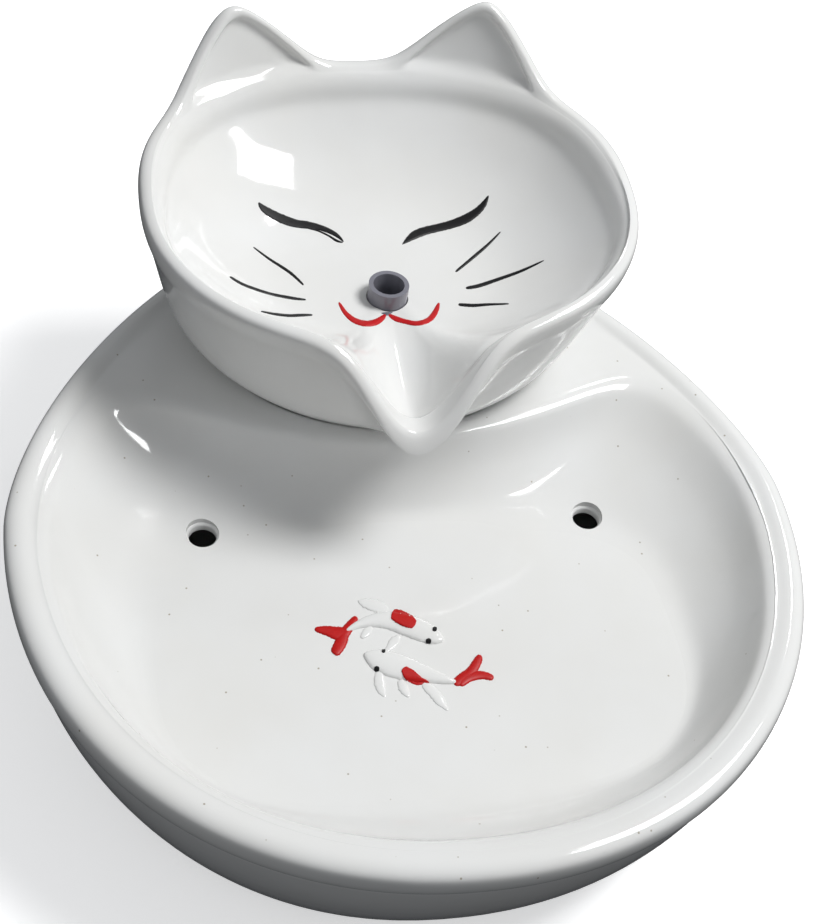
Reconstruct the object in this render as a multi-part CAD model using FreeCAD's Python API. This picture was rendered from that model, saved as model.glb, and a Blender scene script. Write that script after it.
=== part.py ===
import FreeCAD, Part
import math
import os

# Pet water fountain in glazed stoneware: a cat-head bowl on the deck of an oval basin, which
# lies on a reservoir base. A small submersible pump in the reservoir lifts the water through
# a short hose to the nose of the cat. Millimetres, +Z up, front towards -Y. The shapes are made
# about the widest place of the basin, and then moved so that the origin lies on the table under
# the middle of the whole fountain.

# Basin outline, seen from above
basin_half_width = 120.0
basin_front_reach = 124.0
basin_back_reach = 141.0
basin_front_power = 2.1
basin_back_power = 1.6

# Heights above the table
rim_height = 58.0
deck_height = 56.6
basin_floor_height = 36.0
pad_height = 1.6

# Basin tray
tray_wall = 5.0
rim_land = 13.0
rim_roll = 9.0
rim_drop = 9.0
rim_land_drop = 0.8
rim_bead = 0.3
floor_half_width = 84.0
floor_front_reach = 62.0
floor_back_reach = 42.0
floor_power = 2.5
lip_thickness = 2.2
deck_edge_y = 27.0
deck_edge_curve = 0.004
basin_centre_y = -30.0
drain_hole_diameter = 8.6
drain_hole_x = 62.0
drain_hole_y = 9.5

# Reservoir base
base_wall = 5.0
base_floor = 6.0
base_overhang = 1.8
base_taper = 14.5
base_rebate = 3.2
tray_gap = 0.5
pad_diameter = 16.0
pad_x = 66.0
pad_front_y = -58.0
pad_back_y = 62.0
pad_recess = 0.6

# Cat-head bowl
bowl_centre_y = 88.0
bowl_half_width = 76.0
bowl_front_reach = 64.0
bowl_back_reach = 62.0
bowl_power = 2.4
bowl_rim_height = 108.0
bowl_front_dip = 8.0
bowl_back_rise = 4.0
bowl_lip_radius = 3.1
bowl_floor_height = 80.5
bowl_floor_setback = 12.0
foot_half_width = 60.0
foot_front_reach = 56.0
foot_back_reach = 37.0
foot_power = 2.0
foot_wall = 7.0
seat_depth = 0.7
seat_clearance = 2.2
cavity_height = 12.0
cavity_slope = 0.6
belly_half_width = 70.0
belly_front_reach = 62.0
belly_back_reach = 50.0

# Ears and spout of the bowl
ear_angle = 37.5
ear_half_angle = 21.0
ear_height = 22.5
ear_lean = 6.0
ear_hollow = 4.0
spout_reach = 18.0
spout_drop = 31.0
spout_angle = 15.7
spout_drop_angle = 12.3

# Hose and nose hole
nose_setback = 21.0
hose_diameter = 13.0
hose_bore = 10.0
hose_proud = 5.5
nose_clearance = 0.3
deck_hole_diameter = 34.0

# Pump, laid with its shaft along Y and its outlet on the hose axis
pump_width = 34.0
pump_height = 29.0
pump_wall = 2.0
pump_lift = 4.5
chamber_diameter = 23.0
chamber_depth = 11.0
chamber_front = 6.5
impeller_plate = 2.0
rotor_diameter = 11.0
rotor_length = 20.0
rotor_gap = 0.7
well_wall = 1.2
shaft_diameter = 2.0
bush_diameter = 5.0
bush_length = 2.0
motor_length = 34.0
cover_depth = 7.0
slider_width = 12.0
slider_height = 8.0
slider_thickness = 1.6
slot_width = 2.2
slot_pitch = 4.4
slot_rows = 3
foam_thickness = 3.6
nozzle_height = 9.0
nozzle_wall = 1.5
cup_diameter = 13.0
cup_stem = 5.0
cup_flare = 1.6
gland_diameter = 8.0
gland_length = 7.0
cable_diameter = 4.2
oring_section = 1.6
impeller_blades = 6
blade_thickness = 1.2
blade_height = 5.0
fit_gap = 0.05
running_gap = 0.3

# Cable notch in the back of the base
notch_width = 9.0
notch_depth = 9.0
notch_run = 50.0
grommet_wall = 2.0

# Net resolution of the ceramic skins
net_columns = 96

# Places that follow from the sizes
bowl_floor_y = bowl_centre_y - bowl_floor_setback
hose_y = bowl_centre_y - nose_setback
hose_top = bowl_floor_height + hose_proud

os.makedirs("parts", exist_ok=True)


def vec(x, y, z):
    return FreeCAD.Vector(x, y, z)


def superellipse(angle, half_width, front, back, front_power, back_power):
    """Radius at an angle from the front, in degrees, towards +X."""
    sine = abs(math.sin(math.radians(angle)))
    cosine = math.cos(math.radians(angle))
    reach = front if cosine > 0 else back
    power = front_power if cosine > 0 else back_power
    total = (sine / half_width) ** power + (abs(cosine) / reach) ** power
    return total ** (-1.0 / power)


def smooth_min(first, second, sharpness=8.0):
    return (first ** -sharpness + second ** -sharpness) ** (-1.0 / sharpness)


def lerp(start, end, share):
    return start + (end - start) * share


def place(angle, radius, centre_y, z):
    a = math.radians(angle)
    return vec(radius * math.sin(a), centre_y - radius * math.cos(a), z)


def net_angles():
    return [360.0 * i / net_columns for i in range(net_columns)]


def skin_solid(rows):
    """Solid inside a smooth skin over closed rows of poles, with flat ends."""
    count = len(rows)
    degree = 3
    surface = Part.BSplineSurface()
    poles = [[rows[j][i] for j in range(count)] for i in range(net_columns)]
    around = list(range(net_columns + 1))
    along = list(range(count - degree + 1))
    along_mults = [degree + 1] + [1] * (count - degree - 1) + [degree + 1]
    surface.buildFromPolesMultsKnots(
        poles, [1] * len(around), along_mults, around, along, True, False, degree, degree)
    skin = surface.toShape()
    low, high = along[0], along[-1]
    ends = []
    for at in (low, high):
        edge = surface.vIso(at).toShape()
        ends.append(Part.Face(Part.Wire([edge])))
    shell = Part.makeShell([skin] + ends)
    shell.sewShape()
    solid = Part.makeSolid(shell)
    if solid.Volume < 0:
        solid.reverse()
    return solid


def rim_radius(angle):
    return superellipse(angle, basin_half_width, basin_front_reach, basin_back_reach,
                        basin_front_power, basin_back_power)


def rim_point(angle, inset, z):
    return place(angle, rim_radius(angle) - inset, 0.0, z)


def land_reach(angle):
    """Distance from the basin's centre to the inner edge of the rim's land."""
    low, high = 0.0, basin_back_reach - basin_centre_y + basin_half_width
    for _ in range(40):
        reach = (low + high) / 2.0
        point = place(angle, reach, basin_centre_y, 0.0)
        bearing = math.degrees(math.atan2(point.x, -point.y))
        if math.hypot(point.x, point.y) < rim_radius(bearing) - rim_land:
            low = reach
        else:
            high = reach
    return low


def basin_radius(angle):
    """Edge of the depression, about its own centre: the rim's land, cut off by the deck."""
    land = land_reach(angle)
    a = math.radians(angle)
    sine, cosine = math.sin(a), -math.cos(a)
    rise = deck_edge_y - basin_centre_y
    root = cosine ** 2 - 4.0 * rise * deck_edge_curve * sine ** 2
    if cosine <= 0 or root <= 0:
        return land
    if abs(sine) < 1e-6:
        return smooth_min(land, rise)
    deck = (cosine - math.sqrt(root)) / (2.0 * deck_edge_curve * sine ** 2)
    return smooth_min(land, deck)


def slope_point(angle, share, outset, z):
    """Point between the basin's edge, at share 0, and the edge of its floor, at share 1."""
    floor = superellipse(angle, floor_half_width, floor_front_reach, floor_back_reach,
                         floor_power, floor_power)
    return place(angle, lerp(basin_radius(angle), floor, share) + outset, basin_centre_y, z)


def land_height(angle):
    """The deck at the back lies a little lower than the rim of the basin."""
    share = (0.5 - 0.5 * math.cos(math.radians(angle))) ** 2
    return lerp(rim_height - rim_land_drop, deck_height, share)


def land_point(angle, share):
    """Point on the flat land between the rim's roll, at share 0, and the basin's edge."""
    z = land_height(angle)
    outer = rim_point(angle, rim_roll, z)
    inner = slope_point(angle, 0.0, 2.5, z)
    return outer + (inner - outer) * share


def cylinder(x, y, z, diameter, height, direction=(0, 0, 1)):
    return Part.makeCylinder(diameter / 2.0, height, vec(x, y, z), vec(*direction))


def tube(x, y, z, outer, inner, height, direction=(0, 0, 1)):
    body = cylinder(x, y, z, outer, height, direction)
    return body.cut(cylinder(x, y, z, inner, height, direction))


def block(x0, x1, y0, y1, z0, z1):
    return Part.makeBox(x1 - x0, y1 - y0, z1 - z0, vec(x0, y0, z0))


def outline_wire(radius, inset, centre_y, z):
    """Smooth closed wire through points of a polar outline, narrowed by inset."""
    points = [place(a, radius(a) - inset, centre_y, z) for a in net_angles()[::2]]
    curve = Part.BSplineCurve()
    curve.interpolate(points, PeriodicFlag=True)
    return Part.Wire([curve.toShape()])


def foot_prism(inset, z0, z1, shrink=0.0):
    """Upright prism on the outline of the bowl's foot, narrowed by shrink at its top."""
    wires = [outline_wire(foot_radius, inset, bowl_centre_y, z0),
             outline_wire(foot_radius, inset + shrink, bowl_centre_y, z1)]
    return Part.makeLoft(wires, True, True)


def foot_radius(angle):
    return superellipse(angle, foot_half_width, foot_front_reach, foot_back_reach,
                        foot_power, foot_power)


# The bowl's foot stands in a shallow flat seat in the deck
seat_top = deck_height - seat_depth
foot_z = seat_top

lip_low = rim_height - rim_drop
plate_under = rim_height - rim_land_drop - tray_wall


def make_tray():
    """Basin and deck in one skin, from the middle of the underside over the rim to the floor."""
    floor_z = basin_floor_height

    def slope_row(share, outset, fall, drop=0.0):
        return [slope_point(a, share, outset, lerp(land_height(a), floor_z, fall) - drop)
                for a in net_angles()]

    def rim_row(inset, z):
        return [rim_point(a, inset, z) for a in net_angles()]

    # Underside of the slope: share of the slope, outset and share of the fall
    rows = [slope_row(share, outset, fall, tray_wall) for share, outset, fall in (
        (1.0, -6.0, 1.0), (1.0, -2.0, 1.0), (0.8, 2.0, 0.94), (0.5, 3.0, 0.55), (0.15, 2.0, 0.12))]
    rows.append([slope_point(a, 0.0, 1.5, plate_under) for a in net_angles()])
    # Under the plate, round the rolled lip and back over the rim: inset and height
    rows += [rim_row(inset, z) for inset, z in (
        (8.0, plate_under), (2.0 * lip_thickness, plate_under), (lip_thickness, lip_low),
        (0.6, lip_low - 0.6), (-rim_bead, lip_low + 2.0), (-0.2, rim_height - 1.4),
        (2.6, rim_height + rim_bead), (0.6 * rim_roll, rim_height))]
    # Over the land, then down the slope to the floor
    for share in (0.0, 0.1, 0.4, 0.8, 1.0):
        rows.append([land_point(a, share) for a in net_angles()])
    rows += [slope_row(share, 0.0, fall) for share, fall in (
        (0.06, 0.05), (0.3, 0.33), (0.6, 0.74), (0.85, 0.95), (1.05, 1.0), (1.2, 1.0))]
    tray = skin_solid(rows)
    tray = tray.cut(foot_prism(-seat_clearance, seat_top, rim_height + tray_wall))
    tray = tray.cut(cylinder(0, hose_y, floor_z, deck_hole_diameter, rim_height))
    for side in (-1, 1):
        hole = cylinder(side * drain_hole_x, drain_hole_y, 0, drain_hole_diameter, rim_height)
        tray = tray.cut(hole)
    return tray


base_top = plate_under - tray_gap
shoulder_z = lip_low - 1.2
arch_z = base_top - notch_depth + notch_width / 2


def base_inset(z, extra=0.0):
    """Inset of the tapering outer wall from the basin's outline at a height."""
    share = max(0.0, (shoulder_z - z) / (shoulder_z - pad_height))
    return base_overhang + base_taper * share ** 1.8 + extra


def make_base():
    """Open tub: from under the floor, up the tapering wall, over its top and down inside."""
    low = pad_height
    floor_z = low + base_floor
    neck = base_overhang + base_rebate

    def row(inset, z):
        return [rim_point(a, inset, z) for a in net_angles()]

    rows = [row(base_inset(low, 6.0), low), row(base_inset(low, 1.5), low)]
    for share in (0.03, 0.12, 0.28, 0.46, 0.64, 0.82, 0.95):
        z = lerp(low, shoulder_z, share)
        rows.append(row(base_inset(z), z))
    rows.append(row(base_overhang, shoulder_z))
    rows.append(row(neck - 0.6, shoulder_z + 0.3))
    rows.append(row(neck, lerp(shoulder_z, base_top, 0.4)))
    rows.append(row(neck, base_top - 0.3))
    rows.append(row(neck + 0.6, base_top))
    rows.append(row(neck + base_wall / 2.0, base_top))
    rows.append(row(neck + base_wall - 0.6, base_top))
    rows.append(row(neck + base_wall, base_top - 0.5))
    for share in (0.85, 0.65, 0.45, 0.28, 0.14, 0.05):
        z = lerp(floor_z, base_top, share)
        rows.append(row(max(neck, base_inset(z)) + base_wall, z))
    rows.append(row(base_inset(floor_z, base_wall + 2.0), floor_z))
    rows.append(row(base_inset(floor_z, base_wall + 8.0), floor_z))
    rows.append(row(base_inset(floor_z, base_wall + 14.0), floor_z))
    base = skin_solid(rows)
    for x, y in pad_places():
        base = base.cut(cylinder(x, y, 0, pad_diameter + 2 * fit_gap, low + pad_recess))
    y0 = basin_back_reach - notch_run
    notch = block(-notch_width / 2, notch_width / 2, y0, basin_back_reach, arch_z, rim_height)
    notch = notch.fuse(cylinder(0, y0, arch_z, notch_width, notch_run, (0, 1, 0)))
    return base.cut(notch)


def pad_places():
    return [(side * pad_x, y) for y in (pad_front_y, pad_back_y) for side in (-1, 1)]


def make_pads():
    pads = [cylinder(x, y, 0, pad_diameter, pad_height + pad_recess) for x, y in pad_places()]
    return Part.makeCompound(pads)


def make_grommet():
    """Rubber saddle that lines the cable notch."""
    y0 = basin_back_reach - base_overhang - base_rebate - base_wall
    top = base_top - 2 * tray_gap
    length = base_wall
    outer = notch_width - 2 * fit_gap
    body = cylinder(0, y0, arch_z, outer, length, (0, 1, 0))
    body = body.fuse(block(-outer / 2, outer / 2, y0, y0 + length, arch_z, top))
    inner = outer - 2 * grommet_wall
    body = body.cut(cylinder(0, y0, arch_z, inner, length, (0, 1, 0)))
    return body.cut(block(-inner / 2, inner / 2, y0, y0 + length, arch_z, base_top))


def bowl_radius(angle):
    return superellipse(angle, bowl_half_width, bowl_front_reach, bowl_back_reach,
                        bowl_power, bowl_power)


def belly_radius(angle):
    return superellipse(angle, belly_half_width, belly_front_reach, belly_back_reach,
                        foot_power, foot_power)


def off_front(angle):
    return abs((angle + 180.0) % 360.0 - 180.0)


def spout_share(angle, width):
    return math.exp(-(off_front(angle) / width) ** 2)


def ear_share(angle):
    """1 at an ear's tip, 0 beside it, with straight flanks and a rounded tip."""
    off = abs(off_front(angle) - (180.0 - ear_angle)) / ear_half_angle
    rounded = math.sqrt(off ** 2 + 0.03) - math.sqrt(0.03)
    return max(0.0, 1.0 - rounded / 0.86) ** 1.15 if rounded < 0.86 else 0.0


def bowl_rim_z(angle):
    turn = math.cos(math.radians(angle))
    height = bowl_rim_height - bowl_front_dip * max(0.0, turn) ** 2
    height += bowl_back_rise * max(0.0, -turn) ** 2
    return height - (spout_drop - bowl_front_dip) * spout_share(angle, spout_drop_angle)


def make_bowl():
    """Cat-head bowl in one skin, with a hollow foot and the nose hole for the hose."""
    lip = bowl_lip_radius

    def row(shape):
        return [shape(a) for a in net_angles()]

    def rim(a):
        return bowl_radius(a) + spout_reach * spout_share(a, spout_angle)

    def at(a, radius, z, centre_y=bowl_centre_y):
        return place(a, radius, centre_y, z)

    def climb(a, share):
        return lerp(foot_z, bowl_rim_z(a), share)

    def dish(a, radius_share, height_share, shift):
        centre = lerp(bowl_centre_y, bowl_floor_y, shift)
        z = lerp(bowl_floor_height, bowl_rim_z(a), height_share)
        return at(a, rim(a) * radius_share, z, centre)

    # Outside, from under the foot up to the lip
    rows = [
        row(lambda a: at(a, foot_radius(a) - 3.0, foot_z)),
        row(lambda a: at(a, foot_radius(a), foot_z)),
        row(lambda a: at(a, foot_radius(a) + 0.8, climb(a, 0.03))),
        row(lambda a: at(a, lerp(foot_radius(a), belly_radius(a), 0.75), climb(a, 0.14))),
        row(lambda a: at(a, lerp(belly_radius(a), rim(a), 0.25), climb(a, 0.34))),
        row(lambda a: at(a, lerp(belly_radius(a), rim(a), 0.62) + 1.0, climb(a, 0.6))),
        row(lambda a: at(a, rim(a) + lip * 0.5, climb(a, 0.84))),
    ]
    # Round the lip and over the ears: outset in lips, share of the ear's lean and of its
    # hollow, height in lips and share of the ear's height
    for outset, leaning, hollow, rise, ear in (
            (1.0, 0.3, 0.0, -1.3, 0.25), (1.15, 0.75, 0.0, -0.16, 0.65),
            (0.95, 1.0, 0.0, 0.7, 1.0), (0.0, 1.0, 0.0, 1.15, 1.0), (-0.9, 1.0, 0.0, 0.5, 0.97),
            (-1.1, 0.6, 0.5, -0.4, 0.62), (-1.3, 0.2, 0.4, -1.3, 0.2)):
        rows.append(row(lambda a: at(
            a, rim(a) + lip * outset + (ear_lean * leaning + ear_hollow * hollow) * ear_share(a),
            bowl_rim_z(a) + lip * rise + ear_height * ear * ear_share(a))))
    # Inside, from under the lip to the floor: share of the radius, of the height and of the
    # way from the bowl's centre to the middle of its floor
    rows += [row(lambda a: dish(a, *shares)) for shares in (
        (0.86, 0.7, 0.0), (0.72, 0.38, 0.2), (0.54, 0.12, 0.5), (0.36, 0.02, 0.8),
        (0.22, 0.0, 1.0), (0.14, 0.0, 1.0))]
    bowl = skin_solid(rows)
    bowl = bowl.cut(foot_prism(foot_wall, foot_z - seat_depth, foot_z + cavity_height,
                               cavity_height * cavity_slope))
    hole = hose_diameter + 2 * nose_clearance
    return bowl.cut(cylinder(0, hose_y, foot_z, hole, bowl_rim_height - foot_z))


# Pump levels and stations along its shaft
base_floor_z = pad_height + base_floor
pump_low = base_floor_z + pump_lift
pump_top = pump_low + pump_height
shaft_z = pump_low + pump_height / 2.0
chamber_y0 = hose_y - chamber_front
chamber_y1 = chamber_y0 + chamber_depth
plate_y = chamber_y0 - impeller_plate
well_diameter = rotor_diameter + 2 * rotor_gap
well_y1 = chamber_y1 + rotor_length + bush_length + 1.0
motor_y1 = chamber_y1 + motor_length
pump_half = pump_width / 2.0
gland_inner = gland_length * 0.4
bar_y0 = well_y1 + well_wall + 1.0
bar_y1 = motor_y1 - gland_inner - 1.2
nozzle_outer = hose_bore - 2 * fit_gap
nozzle_inner = nozzle_outer - 2 * nozzle_wall


def rounded_block(x0, x1, y0, y1, z0, z1, radius):
    body = block(x0, x1, y0, y1, z0, z1)
    along = [e for e in body.Edges if abs(e.tangentAt(e.FirstParameter).y) > 0.9]
    return body.makeFillet(radius, along)


def motor_room():
    inner = pump_wall
    return block(-pump_half + inner, pump_half - inner, chamber_y1 + inner, motor_y1,
                 pump_low + inner, pump_top - inner)


def rotor_well(extra=0.0):
    return cylinder(0, chamber_y1, shaft_z, well_diameter + 2 * extra,
                    well_y1 - chamber_y1 + extra, (0, 1, 0))


def make_housing():
    corner = pump_wall * 1.5
    body = rounded_block(-pump_half, pump_half, plate_y, motor_y1, pump_low, pump_top, corner)
    body = body.cut(motor_room())
    body = body.fuse(rotor_well(well_wall))
    body = body.cut(cylinder(0, plate_y, shaft_z, chamber_diameter + 2 * oring_section,
                             impeller_plate, (0, 1, 0)))
    body = body.cut(cylinder(0, chamber_y0, shaft_z, chamber_diameter, chamber_depth, (0, 1, 0)))
    body = body.cut(rotor_well())
    body = body.fuse(cylinder(0, hose_y, pump_top - pump_wall, nozzle_outer + 4.0, pump_wall + 2.0))
    body = body.fuse(cylinder(0, hose_y, pump_top, nozzle_outer, nozzle_height + 2.0))
    body = body.cut(cylinder(0, hose_y, shaft_z, nozzle_inner, pump_height))
    for x, y in cup_places():
        body = body.cut(cylinder(x, y, pump_low, cup_stem, 1.5))
    return body


def cup_places():
    x = pump_half - cup_diameter / 2.0 + 1.0
    return [(side * x, y) for y in (plate_y + 7.0, motor_y1 - 7.0) for side in (-1, 1)]


def make_cups():
    """Suction cups: a flared skirt with a stem that snaps into the housing."""
    cups = []
    for x, y in cup_places():
        low = base_floor_z
        skirt = Part.makeCone(cup_diameter / 2.0, cup_stem / 2.0 + 0.6, pump_lift, vec(x, y, low))
        hollow = Part.makeCone(cup_diameter / 2.0 - cup_flare, 0.5, pump_lift * 0.6, vec(x, y, low))
        stem = cylinder(x, y, low + pump_lift * 0.8, cup_stem - 2 * fit_gap, pump_lift * 0.2 + 1.4)
        cups.append(skirt.cut(hollow).fuse(stem))
    return Part.makeCompound(cups)


def make_impeller_cover():
    """Round plate that closes the impeller chamber, with the water inlet and a shaft spider."""
    seat = chamber_diameter + 2 * oring_section - 2 * fit_gap
    plate = cylinder(0, plate_y, shaft_z, seat, impeller_plate, (0, 1, 0))
    plate = plate.cut(cylinder(0, plate_y, shaft_z, chamber_diameter * 0.5, impeller_plate, (0, 1, 0)))
    hub = cylinder(0, plate_y, shaft_z, bush_diameter, impeller_plate, (0, 1, 0))
    arm = chamber_diameter * 0.28
    spider = block(-arm, arm, plate_y, plate_y + impeller_plate, shaft_z - 0.8, shaft_z + 0.8)
    spider = spider.fuse(block(-0.8, 0.8, plate_y, plate_y + impeller_plate, shaft_z - arm, shaft_z + arm))
    plate = plate.fuse(spider).fuse(hub)
    return plate.cut(cylinder(0, plate_y, shaft_z, shaft_diameter, impeller_plate, (0, 1, 0)))


def make_oring():
    ring = Part.makeTorus(chamber_diameter / 2.0 - oring_section * 0.55, oring_section * 0.5,
                          vec(0, chamber_y0 + oring_section * 0.5, shaft_z), vec(0, 1, 0))
    return ring


def make_shaft():
    end = well_y1
    return cylinder(0, plate_y, shaft_z, shaft_diameter, end - plate_y, (0, 1, 0))


def make_bushes():
    front = tube(0, chamber_y0, shaft_z, bush_diameter, shaft_diameter, bush_length, (0, 1, 0))
    y = well_y1 - bush_length
    back = tube(0, y, shaft_z, well_diameter, shaft_diameter, bush_length, (0, 1, 0))
    return Part.makeCompound([front, back])


rotor_bore = shaft_diameter + 2 * fit_gap
rotor_y0 = chamber_y1 + rotor_gap
rotor_y1 = well_y1 - bush_length - running_gap


def make_magnet():
    return tube(0, rotor_y0, shaft_z, rotor_diameter, rotor_diameter * 0.5, rotor_y1 - rotor_y0, (0, 1, 0))


def make_impeller():
    """Hub sleeve through the magnet, back disc and straight blades."""
    front = chamber_y0 + bush_length + running_gap
    sleeve = cylinder(0, front, shaft_z, rotor_diameter * 0.5, rotor_y1 - front, (0, 1, 0))
    disc_y = chamber_y1 - 1.6
    reach = chamber_diameter / 2.0 - 2.4
    disc = cylinder(0, disc_y, shaft_z, 2 * reach, 1.2, (0, 1, 0))
    wheel = sleeve.fuse(disc)
    for i in range(impeller_blades):
        blade = block(0, reach, disc_y - blade_height, disc_y + 0.6,
                      shaft_z - blade_thickness / 2, shaft_z + blade_thickness / 2)
        blade.rotate(vec(0, disc_y, shaft_z), vec(0, 1, 0), 360.0 * i / impeller_blades)
        wheel = wheel.fuse(blade)
    return wheel.cut(cylinder(0, front - 1, shaft_z, rotor_bore, rotor_y1 - front + 2, (0, 1, 0)))


def core_box():
    half = pump_half - pump_wall - 3.0
    depth = rotor_length * 0.55
    y0 = chamber_y1 + pump_wall + 3.0
    return half, y0, y0 + depth


def make_core():
    """Laminated yoke round the rotor well, with two limbs back to the coil."""
    half, y0, y1 = core_box()
    tall = pump_height / 2.0 - pump_wall - 2.5
    yoke = block(-half, half, y0, y1, shaft_z - tall, shaft_z + tall)
    bar = block(-half, half, bar_y0, bar_y1, shaft_z - 3.5, shaft_z + 3.5)
    limbs = [block(side * half - (3.0 if side > 0 else 0.0), side * half + (0.0 if side > 0 else 3.0),
                   y1, bar_y1, shaft_z - 3.5, shaft_z + 3.5) for side in (-1, 1)]
    core = yoke.fuse(bar).fuse(limbs[0]).fuse(limbs[1])
    return core.cut(rotor_well(well_wall))


def make_coil():
    half, y0, y1 = core_box()
    gap = 3.5
    reach = half - 3.0 - 0.5
    outer = block(-reach, reach, bar_y0 - 0.6, bar_y1 + 0.6, shaft_z - gap - 4.0, shaft_z + gap + 4.0)
    return outer.cut(block(-reach, reach, bar_y0, bar_y1, shaft_z - gap, shaft_z + gap))


def make_potting():
    room = motor_room()
    for piece in (rotor_well(well_wall), make_core(), make_coil()):
        room = room.cut(piece)
    return room.cut(cylinder(0, motor_y1 - gland_inner, shaft_z, gland_diameter * 0.8,
                             gland_length, (0, 1, 0)))


def make_gland():
    """Stepped rubber gland in the pump's back, bored for the cable."""
    y0 = motor_y1 - gland_inner
    inner = cylinder(0, y0, shaft_z, gland_diameter * 0.8, gland_inner, (0, 1, 0))
    outer = Part.makeCone(gland_diameter / 2.0, cable_diameter / 2.0 + 1.0, gland_length,
                          vec(0, motor_y1, shaft_z), vec(0, 1, 0))
    body = inner.fuse(outer)
    return body.cut(cylinder(0, y0, shaft_z, cable_diameter, gland_length * 1.5, (0, 1, 0)))


cover_y1 = plate_y
cover_y0 = cover_y1 - cover_depth


def make_cover():
    """Cap with intake slots and a window for the flow slider."""
    corner = pump_wall * 1.5
    body = rounded_block(-pump_half, pump_half, cover_y0, cover_y1, pump_low, pump_top, corner)
    room = block(-pump_half + pump_wall, pump_half - pump_wall, cover_y0 + pump_wall, cover_y1,
                 pump_low + pump_wall, pump_top - pump_wall)
    body = body.cut(room)
    columns = int((pump_width - 4 * pump_wall) / slot_pitch)
    tall = (pump_height - 4 * pump_wall) / slot_rows
    for row in range(slot_rows - 1):
        z0 = pump_low + 2 * pump_wall + row * tall
        for i in range(columns):
            x = (i - (columns - 1) / 2.0) * slot_pitch
            body = body.cut(block(x - slot_width / 2, x + slot_width / 2, cover_y0 - 1,
                                  cover_y0 + pump_wall + 1, z0, z0 + tall - pump_wall))
    z0 = pump_top - 2 * pump_wall - tall + pump_wall
    window = slider_width * 0.5
    return body.cut(block(-window, window, cover_y0 - 1, cover_y0 + pump_wall + 1, z0, z0 + tall - pump_wall))


def make_slider():
    """Flow slider on the face of the cover, with a thumb rib and a hook through the window."""
    z1 = pump_top - 2 * pump_wall
    z0 = z1 - slider_height
    y1 = cover_y0 - fit_gap
    plate = block(-slider_width / 2, slider_width / 2, y1 - slider_thickness, y1, z0, z1)
    rib = block(-1.0, 1.0, y1 - slider_thickness - 1.5, y1 - slider_thickness, z0 + 1, z1 - 1)
    return plate.fuse(rib)


def make_foam():
    inset = pump_wall + running_gap
    return block(-pump_half + inset, pump_half - inset, cover_y0 + pump_wall + running_gap,
                 cover_y0 + pump_wall + running_gap + foam_thickness,
                 pump_low + inset, pump_top - inset)


def make_hose():
    low = pump_top + 2.0
    return tube(0, hose_y, low, hose_diameter, hose_bore, hose_top - low)


# Middle of the whole fountain from front to back
middle_y = (bowl_centre_y + bowl_back_reach + bowl_lip_radius - basin_front_reach) / 2.0

pieces = {
    "upper_bowl": make_bowl,
    "basin_tray": make_tray,
    "reservoir_base": make_base,
    "base_pads": make_pads,
    "cable_grommet": make_grommet,
    "riser_hose": make_hose,
    "pump_housing": make_housing,
    "pump_front_cover": make_cover,
    "flow_slider": make_slider,
    "intake_foam": make_foam,
    "impeller_cover": make_impeller_cover,
    "cover_oring": make_oring,
    "impeller": make_impeller,
    "rotor_magnet": make_magnet,
    "rotor_shaft": make_shaft,
    "shaft_bushes": make_bushes,
    "stator_core": make_core,
    "stator_coil": make_coil,
    "motor_potting": make_potting,
    "cable_gland": make_gland,
    "suction_cups": make_cups,
}

for name, make in pieces.items():
    shape = make()
    if shape.ShapeType not in ("Solid", "Compound"):
        shape = Part.makeSolid(shape)
    shape = shape.translated(vec(0, -middle_y, 0))
    shape.exportStep("parts/" + name + ".step")
    box = shape.BoundBox
    print(name, len(shape.Solids), shape.isValid(), round(shape.Volume),
          [round(v, 1) for v in (box.XMin, box.XMax, box.YMin, box.YMax, box.ZMin, box.ZMax)])
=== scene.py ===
"""Pet water fountain: glazed bowl and basin, painted face, koi, finishes, studio and camera."""
import math
import random

import bmesh
import bpy
from bpy.props import FloatProperty, FloatVectorProperty, PointerProperty, StringProperty
from mathutils import Matrix, Vector
from mathutils.bvhtree import BVHTree


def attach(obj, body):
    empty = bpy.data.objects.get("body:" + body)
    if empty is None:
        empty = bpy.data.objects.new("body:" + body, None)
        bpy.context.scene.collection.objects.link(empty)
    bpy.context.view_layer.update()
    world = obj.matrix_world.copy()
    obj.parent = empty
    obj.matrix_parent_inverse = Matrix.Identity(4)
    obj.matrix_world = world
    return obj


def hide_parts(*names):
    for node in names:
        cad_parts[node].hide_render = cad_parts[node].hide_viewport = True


bl_info = {
    "name": "Pet water fountain",
    "version": (1, 0, 0),
    "blender": (4, 5, 0),
    "location": "View3D > Sidebar > Fountain",
    "description": "Dresses a ceramic pet water fountain around its packed frame",
    "category": "Object",
}

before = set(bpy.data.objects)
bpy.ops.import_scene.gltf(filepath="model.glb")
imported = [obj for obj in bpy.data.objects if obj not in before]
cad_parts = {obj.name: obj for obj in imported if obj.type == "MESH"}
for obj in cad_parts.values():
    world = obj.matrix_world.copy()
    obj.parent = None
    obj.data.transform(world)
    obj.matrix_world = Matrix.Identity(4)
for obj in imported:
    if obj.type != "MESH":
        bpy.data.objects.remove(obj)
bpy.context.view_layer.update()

MM = 0.001
PHOTO_WIDTH, PHOTO_HEIGHT = 815, 924

# Mesh density: columns round the bowl, the basin and a cutter, and rows in a span of a skin
BOWL_COLUMNS, BASIN_COLUMNS, CUTTER_SIDES, SKIN_STEPS = 360, 240, 96, 4
SHARP_ANGLE = math.radians(50.0)

# Powers of the superellipses: 2 gives an ellipse, more a squarer outline
BOWL_POWER, BOWL_BACK_POWER, FOOT_POWER = 2.4, 2.3, 2.0
BASIN_FRONT_POWER, BASIN_BACK_POWER, FLOOR_POWER = 2.1, 1.6, 3.0

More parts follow.
